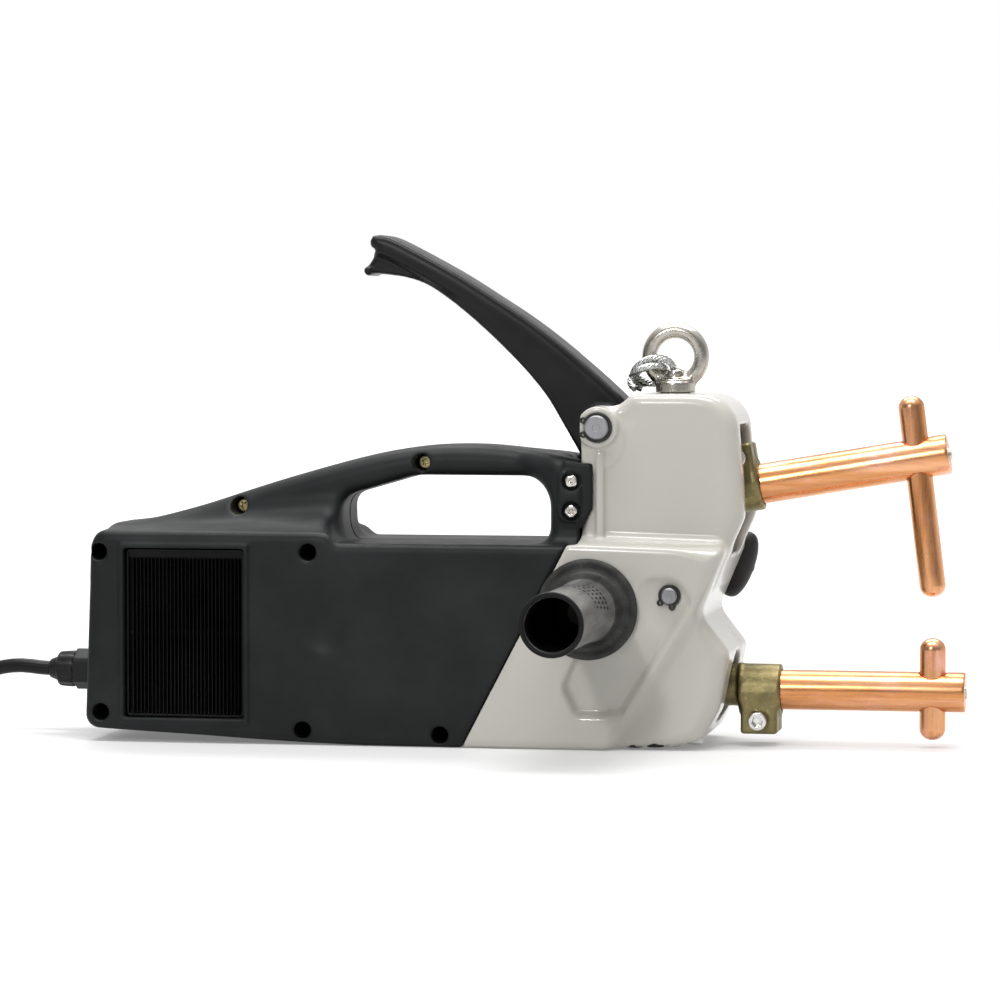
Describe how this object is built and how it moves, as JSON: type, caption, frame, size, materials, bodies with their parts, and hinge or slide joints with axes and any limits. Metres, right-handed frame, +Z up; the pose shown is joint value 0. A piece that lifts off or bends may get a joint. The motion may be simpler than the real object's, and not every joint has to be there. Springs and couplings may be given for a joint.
{
  "type": "spot welder",
  "caption": "Hand-held pincer spot welder with a moulded casing, cast head, squeeze lever and two copper arms with electrodes.",
  "frame": {"origin": "on the flat underside of the tool, on its mid-plane, near the foot of the joint between casing and head", "axes": "+X towards the electrodes, +Y away from the side handle, +Z up"},
  "size_m": [0.6779, 0.319, 0.255],
  "materials": {
    "casing": "satin moulded",
    "gloss_black": "gloss",
    "head_paint": "gloss enamel",
    "steel": "machined",
    "black_steel": "blackened",
    "yellow_zinc": "yellow zinc",
    "brass": "as cast",
    "copper": "polished copper",
    "rubber": "moulded",
    "insulator": "fibre",
    "laminations": "stamped",
    "winding": "varnished wire",
    "board": "circuit board"
  },
  "bodies": {
    "frame": {"bottom_screw_1": "black_steel", "bottom_screw_2": "black_steel", "bottom_screw_3": "steel", "bottom_screw_4": "steel", "cable_gland": "gloss_black", "casing_far": "casing", "casing_near": "casing", "casing_screw_1": "black_steel", "casing_screw_2": "black_steel", "casing_screw_3": "black_steel", "casing_screw_4": "black_steel", "casing_screw_5": "black_steel", "cord_coil": "gloss_black", "cord_tie": "gloss_black", "eyebolt": "steel", "flexible_shunt": "copper", "grip_screw_1": "yellow_zinc", "grip_screw_2": "yellow_zinc", "head_casting": "head_paint", "lever_circlip_far": "black_steel", "lever_circlip_near": "black_steel", "lever_pin": "steel", "lower_arm_holder": "brass", "lower_busbar": "copper", "lower_clamp_screw": "steel", "lower_insulating_collar": "insulator", "mains_cord": "gloss_black", "plug": "gloss_black", "primary_coil": "winding", "return_spring": "steel", "rocker_circlip_far": "black_steel", "rocker_circlip_near": "black_steel", "rocker_pin": "steel", "secondary_turn": "copper", "shunt_boot": "rubber", "side_handle": "rubber", "side_handle_stud": "steel", "tab_bolt_1": "steel", "tab_bolt_2": "steel", "thyristor_block": "laminations", "timer_board": "board", "transformer_core": "laminations", "trigger_switch": "gloss_black", "vent_grille_far": "gloss_black", "vent_grille_near": "gloss_black", "wire_rope_tether": "steel"},
    "lever": {"lever": "gloss_black", "crank_pin": "steel"},
    "link": {"toggle_link": "steel"},
    "rocker": {"upper_arm_holder": "brass", "rocker_bush": "insulator", "link_pin": "steel", "upper_clamp_screw": "steel"},
    "upper_arm": {"upper_arm": "copper", "upper_arm_set_screw": "steel"},
    "upper_electrode": {"upper_electrode": "copper"},
    "lower_arm": {"lower_arm": "copper", "lower_arm_set_screw": "steel"},
    "lower_electrode": {"lower_electrode": "copper"},
    "plunger": {"switch_plunger": "insulator"}
  },
  "joints": [
    {"name": "lever_pivot", "type": "hinge", "parent": "frame", "child": "lever", "pos_m": [0.0556, 0, 0.1588], "axis": [0, -1, 0], "range_deg": [0, 36], "stiffness_Nm_per_rad": 1, "springref_deg": -51.57},
    {"name": "link_pivot", "type": "hinge", "parent": "lever", "child": "link", "pos_m": [0.0502, 0, 0.14395], "axis": [0, 1, 0], "range_deg": [0, 36.5]},
    {"name": "rocker_pivot", "type": "hinge", "parent": "frame", "child": "rocker", "pos_m": [0.0932, 0, 0.0768], "axis": [0, 1, 0], "range_deg": [0, 9.11], "deforming": ["return_spring"]},
    {"name": "switch_press", "type": "slide", "parent": "frame", "child": "plunger", "axis": [0, 0, -1], "range_m": [0, 0.002]},
    {"name": "upper_arm_slide", "type": "slide", "parent": "rocker", "child": "upper_arm", "axis": [0.9865, 0, 0.164], "range_m": [0, 0.008]},
    {"name": "upper_electrode_slide", "type": "slide", "parent": "upper_arm", "child": "upper_electrode", "axis": [-0.1227, 0, 0.9924], "range_m": [0, 0.012]},
    {"name": "lower_arm_slide", "type": "slide", "parent": "frame", "child": "lower_arm", "axis": [1, 0, 0], "range_m": [0, 0.008]},
    {"name": "lower_electrode_slide", "type": "slide", "parent": "lower_arm", "child": "lower_electrode", "axis": [0, 0, 1], "range_m": [0, 0.008]}
  ],
  "couplings": [
    {"joint": "link_pivot", "follows": "lever_pivot", "ratio": 1.0094},
    {"joint": "rocker_pivot", "follows": "lever_pivot", "ratio": 0.2528},
    {"joint": "switch_press", "follows": "lever_pivot", "m_per_rad": 0.003183}
  ]
}
